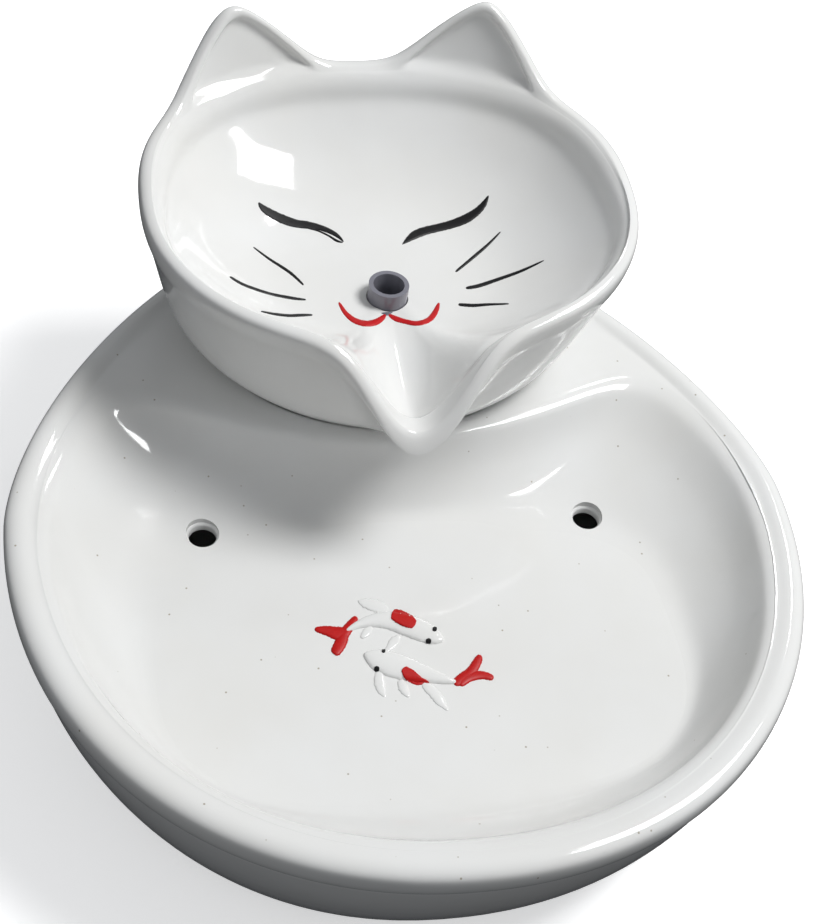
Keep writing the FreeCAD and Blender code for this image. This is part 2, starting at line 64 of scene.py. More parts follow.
# Half widths of the spout, of its fall and of its groove, in degrees round the bowl
SPOUT_ANGLE, SPOUT_DROP_ANGLE, GROOVE_ANGLE = 15.7, 12.3, 13.0
# Softness of the groove's bottom in degrees, then the ridges beside it: their place and half
# width in groove angles, and their height in groove depths
GROOVE_SOFTNESS, RIDGE_PLACE, RIDGE_WIDTH, RIDGE_HEIGHT = 1.5, 1.35, 0.6, 0.7
# Where the rim's rounding ends inside the bowl, in lips, and the share by which the crest of the
# rim is flatter in front
RIM_END, FRONT_FLATTER = 2.05, 0.3
# The spout's edge is a parabola: the rise of its top and how far that lies inwards, in lips
POUR_RISE, POUR_INSET = 0.65, 0.2
# The bowl's front begins and is full at these cosines of the angle from the front
FRONT_BEGINS, FRONT_FULL = -0.25, 0.35

# Ears in degrees round the bowl: off the middle of the back, turn of the pair, half width
EAR_ANGLE, EAR_TURN, EAR_HALF_ANGLE = 34.6, 3.0, 19.0
# Roundness of an ear's tip and of its flanks' run-out, in half widths
EAR_TIP, EAR_BLEND = 0.185, 0.15

# How the edge of the basin's deck curves back towards its ends: a parabola
DECK_CURVE = 0.004 / MM
# Share of the basin's rim width at which the land leaves the rim
LAND_BEGINS = 0.75

# Strokes: rows to a pixel, fewest rows, lanes across flat and rounded ones
STROKE_ROWS, FEWEST_ROWS, FLAT_LANES, ROUND_LANES = 0.9, 10, 7, 11
# Share of the width left at a stroke's ends, share of its length looked ahead for its direction
END_SHARE, LOOK_AHEAD = 0.2, 0.01
# Breadth of strokes against the widths read from the photograph, which soft edges make too thin
STROKE_BREADTH, WHISKER_BREADTH = 1.12, 1.3
# Height of a stroke's edge over the surface, depth of its underside, longest step to a next row
STROKE_LIFT, STROKE_SINK, LEAP = 0.01 * MM, 0.25 * MM, 4 * MM

# A wave texture turns through 20 radians a metre at scale 1. A scale from a spacing, divided by
# that, draws the lines 6.3 times as coarse as they are, so that they show
WAVE_RADIANS = 20.0

# Strokes of the painted face: (x, y, width) in pixels of the 815 x 924 photograph
EYE_LEFT = [(258.5, 202.5, 2.5), (263.6, 208.5, 6.0), (274, 215, 7.6), (285.5, 220.2, 8.2),
            (296.5, 223.6, 7.4), (307.8, 225.0, 6.6), (319, 227.2, 5.2), (330.4, 231.6, 4.4),
            (338, 236.2, 3.4), (343.6, 241.8, 1.6)]
EYE_LEFT_STRAND = [(300, 225.0, 2.2), (309, 228.2, 1.6), (319, 231.2, 1.6), (329, 236.0, 1.8),
                   (336.5, 240.6, 2.2), (342.8, 242.6, 1.2)]
EYE_RIGHT = [(488.5, 195.6, 2.0), (484, 203.8, 5.2), (477.1, 211.3, 6.8), (466, 218.7, 8.2),
             (450.8, 224.5, 7.6), (435.7, 228.3, 7.2), (424.4, 231.1, 7.6), (415, 234.8, 7.8),
             (408.8, 239.0, 5.4), (402.2, 244.4, 1.2)]
WHISKERS_LEFT = [
    [(253.2, 247.1, 0.9), (268.5, 258.4, 1.8), (289.9, 272.5, 2.3), (303.6, 285.1, 1.6)],
    [(229.7, 276.6, 1.8), (243.8, 284.7, 2.2), (268.3, 293.2, 2.2), (290.9, 297.9, 2.4),
     (305.9, 299.8, 1.4)],
    [(260.8, 311.4, 1.0), (274.4, 314.0, 1.9), (289, 315.6, 2.2), (300.3, 315.2, 2.3),
     (312.5, 315.0, 1.4)],
]
WHISKERS_RIGHT = [
    [(455.5, 271.9, 2.0), (475.2, 255.6, 2.5), (488.5, 244.0, 2.1), (500.6, 231.7, 1.0)],
    [(465.8, 288.1, 2.4), (479, 285.7, 3.0), (501.6, 278.1, 2.6), (522, 270.6, 2.2),
     (544, 260.5, 1.0)],
    [(458.3, 304.5, 2.6), (473.4, 305.4, 2.6), (488.4, 304.5, 2.0), (509.1, 303.9, 1.0)],
]
MOUTH_LEFT = [(338.8, 302.2, 2.6), (345.4, 312.9, 4.2), (354.8, 320.6, 5.2), (366.1, 323.6, 5.4),
              (375.5, 322.2, 5.8), (381.8, 318.4, 5.0), (385.6, 314.6, 2.6)]
MOUTH_RIGHT = [(388.6, 314.4, 2.6), (395.2, 318.4, 4.8), (405.6, 321.6, 4.4), (416.9, 323.4, 4.4),
               (428.2, 320.1, 4.8), (434.8, 312.9, 5.2), (439.1, 302.8, 2.8)]
# Grey V just under the hose, narrowing downwards towards the mouth
GREY_V_UNDER_HOSE = [(386.8, 312.4, 13.0), (386.9, 313.8, 8.0), (387.0, 315.6, 3.0)]

# Relief koi on the basin's floor, in the same pixels
KOI_UPPER = {
    "body": [(443.5, 640.5, 7), (436, 637.5, 17), (423, 631.5, 22), (406, 625.0, 22),
             (388, 620.5, 18), (371, 621.0, 13), (357, 625.5, 8.5), (346, 631.5, 6)],
    "tail": [[(348, 632.5, 8), (338, 633.5, 11), (327, 630.8, 8.0), (314.6, 629.2, 4.6)],
             [(341, 638, 10), (346.5, 630.5, 8.5), (352.5, 622.5, 7.0), (356.4, 616.8, 4.6)],
             [(345, 629, 7), (342.5, 638.5, 9.5), (338.0, 648.0, 9.5), (333.4, 654.0, 8.0)]],
    "patch": [(391.8, 613.6, 9.5), (398.5, 616.2, 13.5), (407, 620.6, 13.6), (415, 625.2, 8.6)],
    "eyes": [(428.5, 641.2, 5.4), (434.6, 629.4, 4.2)],
    "fins": [[(388, 611, 10), (378, 606.5, 11), (366, 603.5, 9), (358, 601, 5)],
             [(400, 636, 7), (394, 642, 8.5), (389, 648, 6), (384, 652, 3)],
             [(372, 627, 6), (366, 633, 7), (361, 638, 4)]],
}
KOI_LOWER = {
    "body": [(364, 654.5, 8), (372, 657.5, 20), (385, 662.5, 25), (402, 667.5, 25),
             (419, 672.5, 20), (434, 677.0, 13.5), (447, 680.5, 9), (456, 682.5, 6)],
    "tail": [[(453.5, 683.5, 7), (462, 679.0, 9.5), (471, 671.5, 8.2), (477.4, 661.5, 7.4),
              (480.0, 655.0, 5.4)],
             [(459.5, 685.2, 6.5), (469, 677.2, 8), (482, 675.2, 6.6), (493.6, 678.4, 5.4)]],
    "patch": [(403.4, 668.0, 6.0), (409.5, 675.0, 12.0), (418, 680.5, 9.5), (429, 682.6, 2.6)],
    "eyes": [(376.8, 669.0, 5.2), (383.6, 651.0, 3.6)],
    "fins": [[(379, 671, 10), (379.5, 681, 10), (381.5, 690, 8), (385, 697, 4)],
             [(400, 680, 9), (404, 689, 8.5), (409, 697, 5)],
             [(423, 683, 9), (433, 692.5, 9.5), (441, 702, 8), (448, 710.5, 4)]],
}


def length(name, description, size):
    """A setting for a length, given in millimetres."""
    return FloatProperty(name=name, description=description, unit="LENGTH", default=size * MM)


def colour(name, described, default):
    """A setting for a colour, given as sRGB hex."""
    return StringProperty(name=name, description="sRGB hex of " + described, default=default)


class FountainCamera(bpy.types.PropertyGroup):
    """Where the camera stands and how it looks."""
    eye: FloatVectorProperty(name="Eye", description="Place of the camera", subtype="XYZ",
                             unit="LENGTH", default=(-0.0891, -0.30355, 0.3991))
    heading: FloatProperty(name="Heading", description="Turn of the view to the right of +Y",
                           subtype="ANGLE", default=math.radians(16.51))
    dip: FloatProperty(name="Dip", description="How far the view looks down", subtype="ANGLE",
                       default=math.radians(47.02))
    roll: FloatProperty(name="Roll", description="Tilt of the camera about its view",
                        subtype="ANGLE", default=math.radians(10.12))
    focal_pixels: FloatProperty(name="Focal length", description="In pixels of the photograph",
                                default=1502.7)


class FountainBowl(bpy.types.PropertyGroup):
    """Sizes of the cat-head bowl."""
    centre_y: length("Centre", "From the fountain's middle back to the bowl's middle", 73.45)
    half_width: length("Half width", "Half of the bowl's width at the rim", 75.3)
    front: length("Front reach", "From the bowl's middle to the front of its rim", 64.0)
    back: length("Back reach", "From the bowl's middle to the back of its rim", 61.5)
    rim_height: length("Rim height", "Height of the rim at its sides", 108.0)
    front_dip: length("Front dip", "How much lower the rim lies at the front", 8.0)
    back_rise: length("Back rise", "How much higher the rim lies at the back", 1.5)
    lip: length("Lip", "Radius of the rounded rim", 3.3)
    back_land: length("Back land", "How much broader the rim is at the back", 1.6)
    front_thin: length("Front thinning", "How much narrower the rim is towards the front", 3.4)
    sway: length("Sway", "How far the hand-finished rim lies to the right of the foot", 1.2)
    tilt: length("Tilt", "How much higher the rim lies on the right", 1.6)
    floor_height: length("Floor height", "Height of the bowl's floor", 80.5)
    floor_back: length("Floor shift", "From the bowl's middle forward to its floor's middle", 12.0)
    foot_height: length("Foot height", "Height at which the foot stands in the deck", 55.9)
    foot_half_width: length("Foot half width", "Half of the foot's width", 60.0)
    foot_front: length("Foot front reach", "From the bowl's middle to the foot's front", 56.0)
    foot_back: length("Foot back reach", "From the bowl's middle to the foot's back", 37.0)
    foot_wall: length("Foot wall", "Width of the foot's ring", 7.0)
    cavity: length("Foot hollow", "Height of the hollow in the foot", 12.0)
    belly_half_width: length("Belly half width", "Half of the width over the foot", 70.0)
    belly_front: length("Belly front reach", "Reach of the belly to the front", 62.0)
    belly_back: length("Belly back reach", "Reach of the belly to the back", 50.0)
    ear_height: length("Ear height", "From the rim to the tip of an ear", 22.6)
    ear_lean: length("Ear lean", "How far an ear's tip leans outwards", 7.6)
    ear_hollow: length("Ear hollow", "Depth of the dish in an ear's front", 3.0)
    ear_frame: length("Ear frame", "Width of the ridge round an ear's dish", 3.6)
    spout_reach: length("Spout reach", "How far the spout stands out", 18.0)
    spout_drop: length("Spout drop", "How much lower the spout lies than the rim", 29.0)
    spout_groove: length("Spout groove", "Depth of the groove along the spout", 3.4)
    hole: length("Nose hole", "Radius of the hole round the hose", 6.8)
    hole_front: length("Nose place", "From the bowl's middle forward to the nose hole", 21.0)


class FountainBasin(bpy.types.PropertyGroup):
    """Sizes of the basin with its deck."""
    centre_y: length("Centre", "From the fountain's middle to the widest place", -14.55)
    half_width: length("Half width", "Half of the basin's width", 120.0)
    front: length("Front reach", "From the widest place to the front", 124.0)
    back: length("Back reach", "From the widest place to the back", 141.0)
    rim_height: length("Rim height", "Height of the rolled rim", 58.0)
    deck_height: length("Deck height", "Height of the deck that carries the bowl", 56.6)
    floor_height: length("Floor height", "Height of the basin's floor", 36.0)
    wall: length("Wall", "Thickness of the basin's wall", 5.0)
    land: length("Rim width", "From the outline to the inner edge of the rim", 10.8)
    corner: length("Corner", "Softness of the corners where the rim meets the deck", 12.0)
    drop: length("Lip drop", "From the rim down to the lip's end", 9.0)
    land_fall: length("Land fall", "How much lower the land lies than the rim", 0.8)
    seat_gap: length("Seat gap", "Room round the bowl's foot in the deck", 0.8)
    floor_half_width: length("Floor half width", "Half of the floor's width", 82.0)
    floor_front: length("Floor front reach", "From the floor's middle to its front", 62.0)
    floor_back: length("Floor back reach", "From the floor's middle to its back", 42.5)
    floor_shift: length("Floor place", "From the widest place to the floor's middle", -30.0)
    deck_edge: length("Deck edge", "From the widest place back to the deck's edge", 28.2)
    deck_hole: length("Deck hole", "Radius of the hole that the hose comes through", 17.0)
    drain_hole: length("Drain hole", "Radius of a drain hole", 4.3)
    drain_x: length("Drain place", "From the middle to a drain hole, sideways", 62.0)
    drain_y: length("Drain place back", "From the widest place back to the drain holes", 8.2)


class FountainGlaze(bpy.types.PropertyGroup):
    """Look of the white glaze."""
    white: colour("Glaze", "the white glaze", "#E3E4E4")
    thin: colour("Thin glaze", "the glaze where it runs thin", "#D9D8D4")
    speck: colour("Specks", "the iron specks", "#8B7F68")
    gloss: FloatProperty(name="Roughness", description="Of the fired glaze", default=0.07)
    ripple: length("Ripple", "Width of the glaze's soft waves", 9.0)


class FountainPaint(bpy.types.PropertyGroup):
    """Enamels of the face and the koi, and how high they and the relief stand."""
    black: colour("Black", "the black enamel", "#060607")
    red: colour("Red", "the mouth's red enamel", "#C4161A")
    koi_red: colour("Koi red", "the koi's vermilion enamel", "#C20A06")
    # Grey of the V that lies just under the hose
    nose: colour("Nose", "the grey enamel", "#4E4E58")
    paint_height: length("Paint height", "Thickness of a brush stroke", 0.22)
    fish_height: length("Fish height", "Relief of a koi's body", 1.15)
    fin_height: length("Fin height", "Relief of a koi's fins", 0.4)


class FountainFittings(bpy.types.PropertyGroup):
    """Colours of the hose, the pump and the rubber parts."""
    hose: colour("Hose", "the vinyl", "#92929C")
    pump: colour("Pump", "the pump's ABS", "#1B1B1D")
    rubber: colour("Rubber", "the rubber", "#222224")


class FountainStage(bpy.types.PropertyGroup):
    """The studio's floor and lights."""
    floor: colour("Floor", "the studio floor", "#F8F8F8")
    floor_size: length("Floor size", "Side of the floor", 6000.0)
    glow: FloatProperty(name="Floor glow", description="Light that the lit paper sends out",
                        default=0.5)
    window_power: FloatProperty(name="Right window", description="Power in watts", default=19.5)
    back_power: FloatProperty(name="Back window", description="Power in watts", default=0.85)
    sky: FloatProperty(name="Sky", description="Strength of the light from all round",
                       default=0.36)


def linear(hex_colour):
    """Linear RGBA of an sRGB hex colour."""
    parts = [int(hex_colour[i:i + 2], 16) / 255.0 for i in (1, 3, 5)]
    return (*(p / 12.92 if p <= 0.04045 else ((p + 0.055) / 1.055) ** 2.4 for p in parts), 1.0)


def new_material(name):
    """A material with its node tree and its shader."""
    material = bpy.data.materials.new(name)
    material.use_nodes = True
    tree = material.node_tree
    return material, tree, tree.nodes["Principled BSDF"]


def add(tree, kind, inputs=None, **settings):
    """A shader node with its settings, and its inputs set to values or linked to sockets."""
    node = tree.nodes.new(kind)
    for key, value in settings.items():
        setattr(node, key, value)
    for key, value in (inputs or {}).items():
        if isinstance(value, bpy.types.NodeSocket):
            tree.links.new(value, node.inputs[key])
        else:
            node.inputs[key].default_value = value
    return node


def per_metre(size):
    """Scale of a noise or cell texture whose features are about that size, in metres."""
    return 1.0 / size


def end_material(tree, shader, shade, pattern, depth, strength, roughness):
    """Last step of a material: its colour, the relief that a pattern gives it, its roughness."""
    tree.links.new(shade, shader.inputs["Base Color"])
    bump = add(tree, "ShaderNodeBump", {"Height": pattern, "Distance": depth,
                                        "Strength": strength})
    tree.links.new(bump.outputs["Normal"], shader.inputs["Normal"])
    shader.inputs["Roughness"].default_value = roughness


def finish_node(name, material):
    """Gives a node of the frame its only material."""
    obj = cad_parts[name]
    obj.data.materials.clear()
    obj.data.materials.append(material)
    for polygon in obj.data.polygons:
        polygon.material_index = 0


def glazed_stoneware(settings, specks):
    """Stoneware dipped in opaque white glaze and fired: a wet, slightly wavy gloss over milk
    white, a little warmer where the glaze runs thin, with a few iron specks."""
    material, tree, shader = new_material("glazed_stoneware_specked" if specks
                                          else "glazed_stoneware")
    place = add(tree, "ShaderNodeTexCoord").outputs["Object"]
    cloud = add(tree, "ShaderNodeTexNoise", {"Vector": place, "Scale": per_metre(45 * MM),
                                             "Detail": 3.0})
    tint = add(tree, "ShaderNodeMix", {"Factor": cloud.outputs["Fac"], 6: linear(settings.white),
                                       7: linear(settings.thin)}, data_type="RGBA")
    shade = tint.outputs[2]
    if specks:
        # One cell in two has a speck at its core, which fades out at 0.4 mm; most cores lie
        # too deep to show
        spot = add(tree, "ShaderNodeTexVoronoi", {"Vector": place, "Scale": per_metre(5.2 * MM)})
        core = add(tree, "ShaderNodeMapRange", {"Value": spot.outputs["Distance"], "From Min": 0.04,
                                                "From Max": 0.075, "To Min": 0.75, "To Max": 0.0})
        chance = add(tree, "ShaderNodeSeparateColor", {"Color": spot.outputs["Color"]})
        rare = add(tree, "ShaderNodeMath", {0: chance.outputs["Red"], 1: 0.5},
                   operation="GREATER_THAN")
        share = add(tree, "ShaderNodeMath", {0: core.outputs["Result"], 1: rare.outputs["Value"]},
                    operation="MULTIPLY")
        shade = add(tree, "ShaderNodeMix", {"Factor": share.outputs["Value"], 6: shade,
                                            7: linear(settings.speck)}, data_type="RGBA").outputs[2]
    wave = add(tree, "ShaderNodeTexNoise", {"Vector": place, "Scale": per_metre(settings.ripple),
                                            "Detail": 1.0})
    end_material(tree, shader, shade, wave.outputs["Fac"], 0.25 * MM, 0.25, settings.gloss)
    shader.inputs["IOR"].default_value = 1.52
    return material


def brushed_enamel(name, hex_colour, streak):
    """Overglaze enamel laid on with a brush: a low gloss with the streaks of its hairs."""
    material, tree, shader = new_material(name)
    place = add(tree, "ShaderNodeTexCoord").outputs["Object"]
    # Streaks 1.2 mm long and 0.4 mm wide, coarser than the hairs, so that they show
    stretch = add(tree, "ShaderNodeMapping", {"Vector": place, "Scale": (1.0, 3.0, 1.0)})
    hair = add(tree, "ShaderNodeTexNoise", {"Vector": stretch.outputs["Vector"],
                                            "Scale": per_metre(1.2 * MM), "Detail": 4.0})
    tint = add(tree, "ShaderNodeMix", {"Factor": hair.outputs["Fac"], 6: linear(hex_colour),
                                       7: linear(streak)}, data_type="RGBA")
    end_material(tree, shader, tint.outputs[2], hair.outputs["Fac"], 0.03 * MM, 0.4, 0.42)
    shader.inputs["IOR"].default_value = 1.38
    return material


def moulded(name, hex_colour, grain, roughness, depth=0.03 * MM):
    """Moulded plastic or rubber: even colour, with the fine grain of the mould."""
    material, tree, shader = new_material(name)
    place = add(tree, "ShaderNodeTexCoord").outputs["Object"]
    texture = add(tree, "ShaderNodeTexNoise", {"Vector": place, "Scale": per_metre(grain),
                                               "Detail": 2.0})
    cloud = add(tree, "ShaderNodeTexNoise", {"Vector": place, "Scale": per_metre(14 * MM)})
    darker = (*(0.75 * c for c in linear(hex_colour)[:3]), 1.0)
    tint = add(tree, "ShaderNodeMix", {"Factor": cloud.outputs["Fac"], 6: linear(hex_colour),
                                       7: darker}, data_type="RGBA")
    end_material(tree, shader, tint.outputs[2], texture.outputs["Fac"], depth, 0.6, roughness)
    return material


def extruded_vinyl(settings):
    """Soft clear vinyl tube gone grey in water: a cloudy violet grey with a dull gloss."""
    material = moulded("extruded_vinyl", settings.hose, 2.0 * MM, 0.24, 0.02 * MM)
    shader = material.node_tree.nodes["Principled BSDF"]
    shader.inputs["Transmission Weight"].default_value = 0.25
    shader.inputs["IOR"].default_value = 1.53
    return material


def foamed_urethane():
    """Open-cell filter foam: charcoal, all small pits, no gloss."""
    material, tree, shader = new_material("foamed_urethane")
    place = add(tree, "ShaderNodeTexCoord").outputs["Object"]
    cells = add(tree, "ShaderNodeTexVoronoi", {"Vector": place, "Scale": per_metre(0.9 * MM)})
    tint = add(tree, "ShaderNodeMix", {"Factor": cells.outputs["Distance"], 6: linear("#16181A"),
                                       7: linear("#4A4D50")}, data_type="RGBA")
    end_material(tree, shader, tint.outputs[2], cells.outputs["Distance"], 0.5 * MM, 1.0, 0.95)
    return material


def ridged_metal(name, spacing, bands, dark, light, depth, roughness):
    """Bare metal in fine parallel ridges."""
    material, tree, shader = new_material(name)
    place = add(tree, "ShaderNodeTexCoord").outputs["Object"]
    ridges = add(tree, "ShaderNodeTexWave", {
        "Vector": place, "Scale": per_metre(spacing) / WAVE_RADIANS}, bands_direction=bands)
    tint = add(tree, "ShaderNodeMix", {"Factor": ridges.outputs["Fac"], 6: linear(dark),
                                       7: linear(light)}, data_type="RGBA")
    end_material(tree, shader, tint.outputs[2], ridges.outputs["Fac"], depth, 1.0, roughness)
    shader.inputs["Metallic"].default_value = 1.0
    return material


def laminated_steel():
    """Stacked silicon steel sheets: grey metal with a fine line at each sheet's edge."""
    return ridged_metal("laminated_silicon_steel", 0.5 * MM, "Y", "#77797C", "#A9ABAE",
                        0.1 * MM, 0.42)


def enamelled_copper():
    """Copper wire with clear enamel, wound in close turns: warm metal in fine ridges."""
    return ridged_metal("enamelled_copper_wire", 0.4 * MM, "X", "#7A3F1D", "#C77B45",
                        0.15 * MM, 0.3)


def view_axes(camera):
    """Right, up and forward of the camera, worked out from its heading, dip and roll."""
    heading, dip, roll = camera.heading, camera.dip, camera.roll
    forward = Vector((math.sin(heading) * math.cos(dip), math.cos(heading) * math.cos(dip),
                      -math.sin(dip)))
    level = Vector((math.cos(heading), -math.sin(heading), 0.0))
    upright = level.cross(forward)
    right = level * math.cos(roll) + upright * math.sin(roll)
    up = upright * math.cos(roll) - level * math.sin(roll)
    return right, up, forward


def pixel_ray(camera, x, y):
    """Direction in which the camera sees a pixel of the photograph."""
    right, up, forward = view_axes(camera)
    across = (x - PHOTO_WIDTH / 2.0) / camera.focal_pixels
    down = (y - PHOTO_HEIGHT / 2.0) / camera.focal_pixels
    return (forward + right * across - up * down).normalized()


def catmull(points, share):
    """Point of a smooth curve through all the points, at a share of its length from 0 to 1."""
    spans = len(points) - 1
    at = min(share * spans, spans - 1e-6)
    i = int(at)
    t = at - i
    a, b, c, d = (points[max(0, min(spans, j))] for j in (i - 1, i, i + 1, i + 2))
    return tuple(0.5 * (2 * q + (r - p) * t + (2 * p - 5 * q + 4 * r - s) * t * t
                        + (3 * q - p - 3 * r + s) * t ** 3) for p, q, r, s in zip(a, b, c, d))


def surface_of(*objects):
    """Search tree over the meshes of some objects, in the frame of the whole fountain."""
    points, faces = [], []
    for obj in objects:
        start = len(points)
        points += [obj.matrix_world @ v.co for v in obj.data.vertices]
        faces += [[start + i for i in p.vertices] for p in obj.data.polygons]
    return BVHTree.FromPolygons(points, faces)


def brush(name, surface, camera, points, height, material, body, round_back=False, wobble=0.05,
          broad=1.0, taper=12):
    """Closed raised ribbon on a surface, along pixels of the photograph with their widths."""
    rng = random.Random(name)
    extent = sum(math.dist(p[:2], q[:2]) for p, q in zip(points, points[1:]))
    steps = max(FEWEST_ROWS, int(extent * STROKE_ROWS))
    lanes = ROUND_LANES if round_back else FLAT_LANES
    top, under = [], []
    for i in range(steps + 1):
        share = i / steps
        x, y, width = catmull(points, share)
        x2, y2, _ = catmull(points, min(1.0, share + LOOK_AHEAD))
        x1, y1, _ = catmull(points, max(0.0, share - LOOK_AHEAD))
        run = math.hypot(x2 - x1, y2 - y1) or 1.0
        nx, ny = -(y2 - y1) / run, (x2 - x1) / run
        end = math.sqrt(max(0.0, 1.0 - (2.0 * abs(share - 0.5)) ** taper))
        fullness = lerp(END_SHARE, 1.0, end)
        half = 0.5 * broad * width * fullness * (1.0 + wobble * rng.uniform(-1.0, 1.0))
        row_top, row_under = [], []
        for j in range(lanes):
            u = 2.0 * j / (lanes - 1) - 1.0
            ray = pixel_ray(camera, x + nx * half * u, y + ny * half * u)
            hit, normal, _, _ = surface.ray_cast(Vector(camera.eye), ray)
            if hit is None or (top and (hit - top[-1][j]).length > LEAP):
                raise RuntimeError(name + " leaves the surface it lies on")
            rise = math.sqrt(max(0.0, 1.0 - u * u)) if round_back else 1.0 - u ** 4
            row_top.append(hit + normal * (height * rise * fullness + STROKE_LIFT))
            row_under.append(hit - normal * STROKE_SINK)
        top.append(row_top)
        under.append(row_under)
    return closed_ribbon(name, top, under, material, body)


def closed_ribbon(name, top, under, material, body):
    """Closed piece between two sheets of points, with walls along its sides and ends."""
    rows, lanes = len(top), len(top[0])
    points = [p for row in top for p in row] + [p for row in under for p in row]
    base = rows * lanes

    def at(i, j, low=0):
        return low + i * lanes + j

    faces = []
    for i in range(rows - 1):
        for j in range(lanes - 1):
            faces.append((at(i, j), at(i + 1, j), at(i + 1, j + 1), at(i, j + 1)))
            faces.append((at(i, j, base), at(i, j + 1, base), at(i + 1, j + 1, base),
                          at(i + 1, j, base)))
        for j, flip in ((0, True), (lanes - 1, False)):
            side = (at(i, j), at(i, j, base), at(i + 1, j, base), at(i + 1, j))
            faces.append(side if flip else side[::-1])
    for j in range(lanes - 1):
        for i, flip in ((0, False), (rows - 1, True)):
            end = (at(i, j), at(i, j, base), at(i, j + 1, base), at(i, j + 1))
            faces.append(end if flip else end[::-1])
    return mesh_piece(name, points, faces, material, body)


def mesh_piece(name, points, faces, material, body):
    """Smooth piece that rides on a body."""
    mesh = bpy.data.meshes.new(name)
    mesh.from_pydata([tuple(p) for p in points], [], faces)
    mesh.validate()
    mesh.materials.append(material)
    for polygon in mesh.polygons:
        polygon.use_smooth = True
    obj = bpy.data.objects.new(name, mesh)
    bpy.context.scene.collection.objects.link(obj)
    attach(obj, body)
    return obj


class FOUNTAIN_OT_camera(bpy.types.Operator):
    """Places the camera at the photograph's viewing angle."""
    bl_idname = "fountain.camera"
    bl_label = "Camera"

    def execute(self, context):
        settings = context.scene.fountain_camera
        data = bpy.data.cameras.new("camera")
        data.sensor_fit = "VERTICAL"
        data.sensor_height = 24.0
        data.lens = settings.focal_pixels * data.sensor_height / PHOTO_HEIGHT
        data.clip_start = 0.01
        camera = bpy.data.objects.new("camera", data)
        right, up, forward = view_axes(settings)
        turn = Matrix((right, up, -forward)).transposed().to_4x4()
        camera.matrix_world = Matrix.Translation(settings.eye) @ turn
        context.scene.collection.objects.link(camera)
        context.scene.camera = camera
        return {"FINISHED"}


def lerp(start, end, share):
    """Value or point at a share of the way from start to end."""
    return start + (end - start) * share


def smooth_step(start, end, value):
    """0 up to start and 1 from end on, with a soft change between."""
    share = max(0.0, min(1.0, (value - start) / (end - start)))
    return share * share * (3.0 - 2.0 * share)


def superellipse(angle, half_width, front, back, front_power, back_power):
    """Radius at an angle, in degrees from the front."""
    sine, cosine = abs(math.sin(math.radians(angle))), math.cos(math.radians(angle))
    reach, power = (front, front_power) if cosine > 0 else (back, back_power)
    return ((sine / half_width) ** power + (abs(cosine) / reach) ** power) ** (-1.0 / power)


def around(angle, radius, centre_y, z):
    """Point at an angle in degrees from the front, round an upright axis at x = 0."""
    turn = math.radians(angle)
    return Vector((radius * math.sin(turn), centre_y - radius * math.cos(turn), z))


def off_front(angle):
    """Degrees between an angle and the front, either way."""
    return abs((angle + 180.0) % 360.0 - 180.0)


def band_faces(rows, columns):
    """Quads between closed rows of points."""
    return [(i * columns + j, i * columns + (j + 1) % columns,
             (i + 1) * columns + (j + 1) % columns, (i + 1) * columns + j)
            for i in range(rows - 1) for j in range(columns)]


def skin(name, rows, material, body):
    """Closed mesh of a smooth spline skin over closed rows of points, with its ends capped."""
    padded = [rows[0]] * 2 + rows + [rows[-1]] * 2
    columns = len(rows[0])
    points = []
    for i in range(len(padded) - 3):
        last = i == len(padded) - 4
        for k in range(SKIN_STEPS + last):
            t = k / SKIN_STEPS
            weights = ((1 - t) ** 3 / 6, (3 * t ** 3 - 6 * t * t + 4) / 6,
                       (-3 * t ** 3 + 3 * t * t + 3 * t + 1) / 6, t ** 3 / 6)
            for j in range(columns):
                points.append(sum((w * padded[i + m][j] for m, w in enumerate(weights)), Vector()))
    count = len(points) // columns
    faces = band_faces(count, columns)
    for first, flip in ((0, True), ((count - 1) * columns, False)):
        ring = list(range(first, first + columns))
        middle = len(points)
        points.append(sum((points[i] for i in ring), Vector()) / columns)
        for i, j in zip(ring, ring[1:] + ring[:1]):
            faces.append((middle, j, i) if flip else (middle, i, j))
    obj = mesh_piece(name, points, faces, material, body)
    tidy_normals(obj.data)
    return obj


def tidy_normals(mesh):
    """Turns all faces of a closed mesh outwards."""
    work = bmesh.new()
    work.from_mesh(mesh)
    bmesh.ops.recalc_face_normals(work, faces=work.faces)
    work.to_mesh(mesh)
    work.free()


def turned(profile, x, y):
    """Cutter turned about an upright axis, from pairs of radius and height."""
    turns = [2 * math.pi * i / CUTTER_SIDES for i in range(CUTTER_SIDES)]
    return stacked([Vector((x + r * math.cos(turn), y + r * math.sin(turn), z))
                    for r, z in profile for turn in turns])


def stacked(points):
    """Closed cutter over the points of upright rings, one ring after the other."""
    levels = len(points) // CUTTER_SIDES
    faces = band_faces(levels, CUTTER_SIDES)
    faces.append(tuple(reversed(range(CUTTER_SIDES))))
    faces.append(tuple(range((levels - 1) * CUTTER_SIDES, levels * CUTTER_SIDES)))
    mesh = bpy.data.meshes.new("cutter")
    mesh.from_pydata([tuple(p) for p in points], [], faces)
    tidy_normals(mesh)
    cutter = bpy.data.objects.new("cutter", mesh)
    bpy.context.scene.collection.objects.link(cutter)
    return cutter


def carve(obj, cutters):
    """Cuts the cutters out of an object and removes them."""
    for cutter in cutters:
        cut = obj.modifiers.new("cut", "BOOLEAN")
        cut.operation, cut.solver, cut.object = "DIFFERENCE", "EXACT", cutter
    bpy.context.view_layer.update()
    done = bpy.data.meshes.new_from_object(obj.evaluated_get(bpy.context.evaluated_depsgraph_get()))
    obj.modifiers.clear()
    obj.data = done
    for cutter in cutters:
        bpy.data.objects.remove(cutter)
    for polygon in done.polygons:
        polygon.use_smooth = True
    done.set_sharp_from_angle(angle=SHARP_ANGLE)


